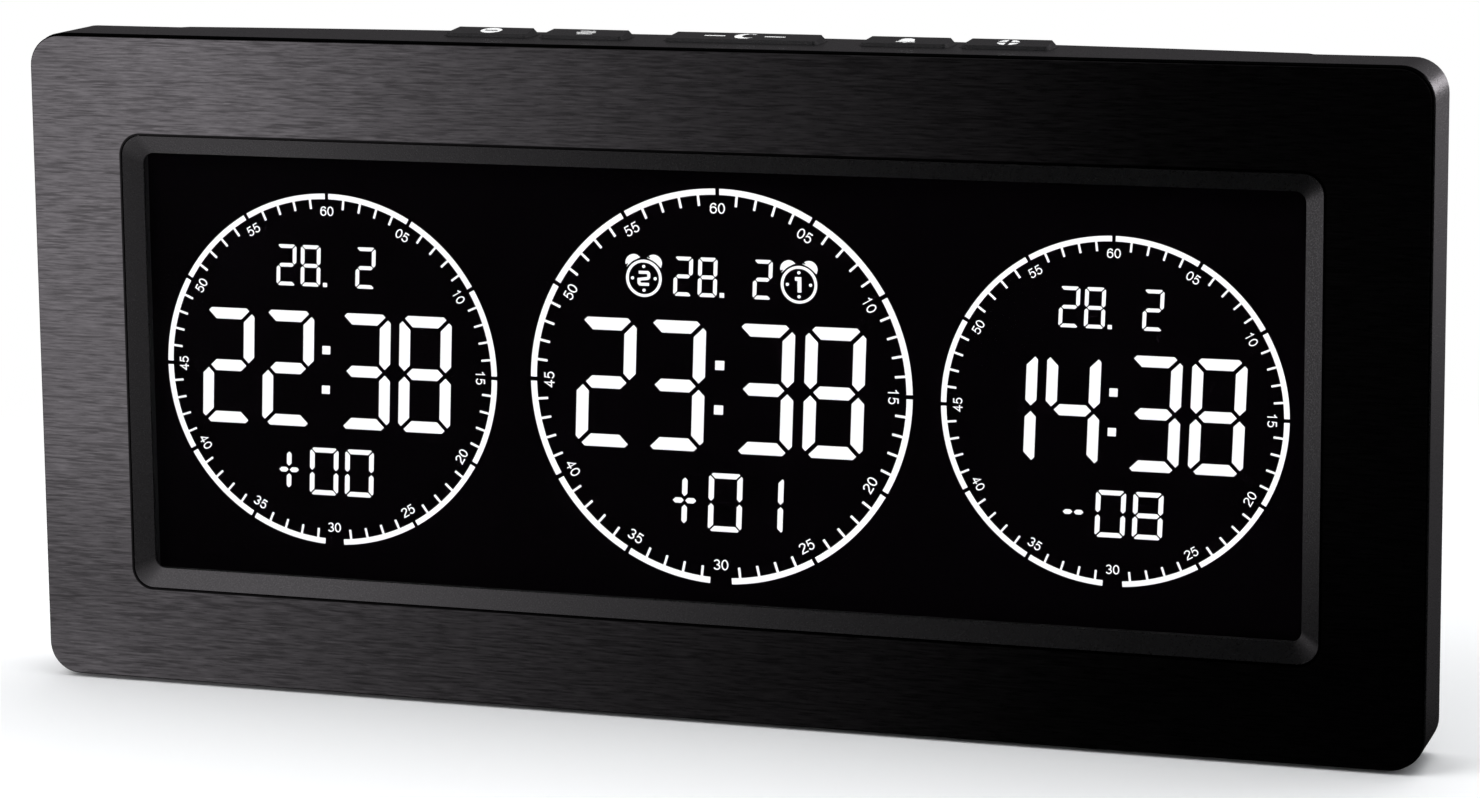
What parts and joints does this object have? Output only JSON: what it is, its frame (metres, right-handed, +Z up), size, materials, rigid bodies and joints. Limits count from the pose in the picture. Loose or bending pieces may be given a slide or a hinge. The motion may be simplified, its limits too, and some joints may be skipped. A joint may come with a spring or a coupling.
{
  "type": "world time clock",
  "caption": "Wide digital world time clock: round dials behind one window, push keys along the top edge, fold-out stand, sliding battery door and wall keyhole.",
  "frame": {"origin": "under the middle of the clock: halfway across, halfway through its depth, at the underside of its feet", "axes": "+X to the right of a person facing the dials, +Y from the front face to the back, +Z up"},
  "size_m": [0.3, 0.028, 0.142],
  "materials": {
    "dark_brushed_metal": "brushed, dark",
    "black_housing": "fine satin",
    "key_plastic": "satin",
    "lens_plastic": "clear, tinted",
    "display_glass": "polished",
    "segment_white": "lit, emissive",
    "guide_acrylic": "diffusing",
    "white_plastic": "moulded",
    "board_green": "solder mask",
    "chip_black": "moulded",
    "socket_white": "moulded",
    "led_resin": "clear",
    "plunger_black": "moulded",
    "ribbon_film": "polyimide film",
    "seal_epoxy": "cured",
    "adhesive_black": "foam film",
    "plated_steel": "nickel plated",
    "black_screw_steel": "black oxide",
    "screw_steel": "zinc plated",
    "capacitor_sleeve": "sleeved",
    "cell_wrap": "printed wrap",
    "lead_sleeve": "sleeve",
    "foot_rubber": "matte"
  },
  "bodies": {
    "casing": {"front_plate": "dark_brushed_metal", "plate_adhesive": "adhesive_black", "front_housing": "black_housing", "foot_pads": "foot_rubber", "display_lens": "lens_plastic", "lcd_front_glass": "display_glass", "lcd_seal": "seal_epoxy", "lit_segments": "segment_white", "lcd_rear_glass": "display_glass", "light_guide": "guide_acrylic", "backlight_board": "board_green", "backlight_leds": "led_resin", "display_holder": "white_plastic", "holder_screws": "screw_steel", "display_ribbon": "ribbon_film", "main_board": "board_green", "main_board_screws": "screw_steel", "controller_chip": "chip_black", "driver_chip": "chip_black", "crystal": "plated_steel", "capacitor": "capacitor_sleeve", "buzzer": "chip_black", "dc_jack": "chip_black", "dc_jack_pin": "plated_steel", "ribbon_sockets": "socket_white", "button_board": "board_green", "button_board_screws": "screw_steel", "button_ribbon": "ribbon_film", "switch_bodies": "chip_black", "rear_cover": "black_housing", "cover_screws": "black_screw_steel", "lower_cell": "cell_wrap", "middle_cell": "cell_wrap", "upper_cell": "cell_wrap", "contact_plates": "plated_steel", "contact_springs": "plated_steel", "battery_leads": "lead_sleeve", "stand_pin": "plated_steel"},
    "minus_key": {"minus_button": "key_plastic", "minus_plunger": "plunger_black"},
    "set_key": {"set_button": "key_plastic", "set_plunger": "plunger_black"},
    "snooze_key": {"snooze_button": "key_plastic", "snooze_plunger": "plunger_black"},
    "alarm_key": {"alarm_button": "key_plastic", "alarm_plunger": "plunger_black"},
    "plus_key": {"plus_button": "key_plastic", "plus_plunger": "plunger_black"},
    "back_stand": {"stand": "black_housing"},
    "door": {"battery_door": "black_housing"}
  },
  "joints": [
    {"name": "minus_press", "type": "slide", "parent": "casing", "child": "minus_key", "axis": [0, 0, -1], "range_m": [0, 0.0005], "stiffness_N_per_m": 3200},
    {"name": "set_press", "type": "slide", "parent": "casing", "child": "set_key", "axis": [0, 0, -1], "range_m": [0, 0.0005], "stiffness_N_per_m": 3200},
    {"name": "snooze_press", "type": "slide", "parent": "casing", "child": "snooze_key", "axis": [0, 0, -1], "range_m": [0, 0.0005], "stiffness_N_per_m": 3200},
    {"name": "alarm_press", "type": "slide", "parent": "casing", "child": "alarm_key", "axis": [0, 0, -1], "range_m": [0, 0.0005], "stiffness_N_per_m": 3200},
    {"name": "plus_press", "type": "slide", "parent": "casing", "child": "plus_key", "axis": [0, 0, -1], "range_m": [0, 0.0005], "stiffness_N_per_m": 3200},
    {"name": "stand_swing", "type": "hinge", "parent": "casing", "child": "back_stand", "pos_m": [0, 0.0123, 0.0546], "axis": [1, 0, 0], "range_deg": [0, 32]},
    {"name": "door_slide", "type": "slide", "parent": "casing", "child": "door", "axis": [0, 0, -1], "range_m": [0, 0.006]}
  ]
}
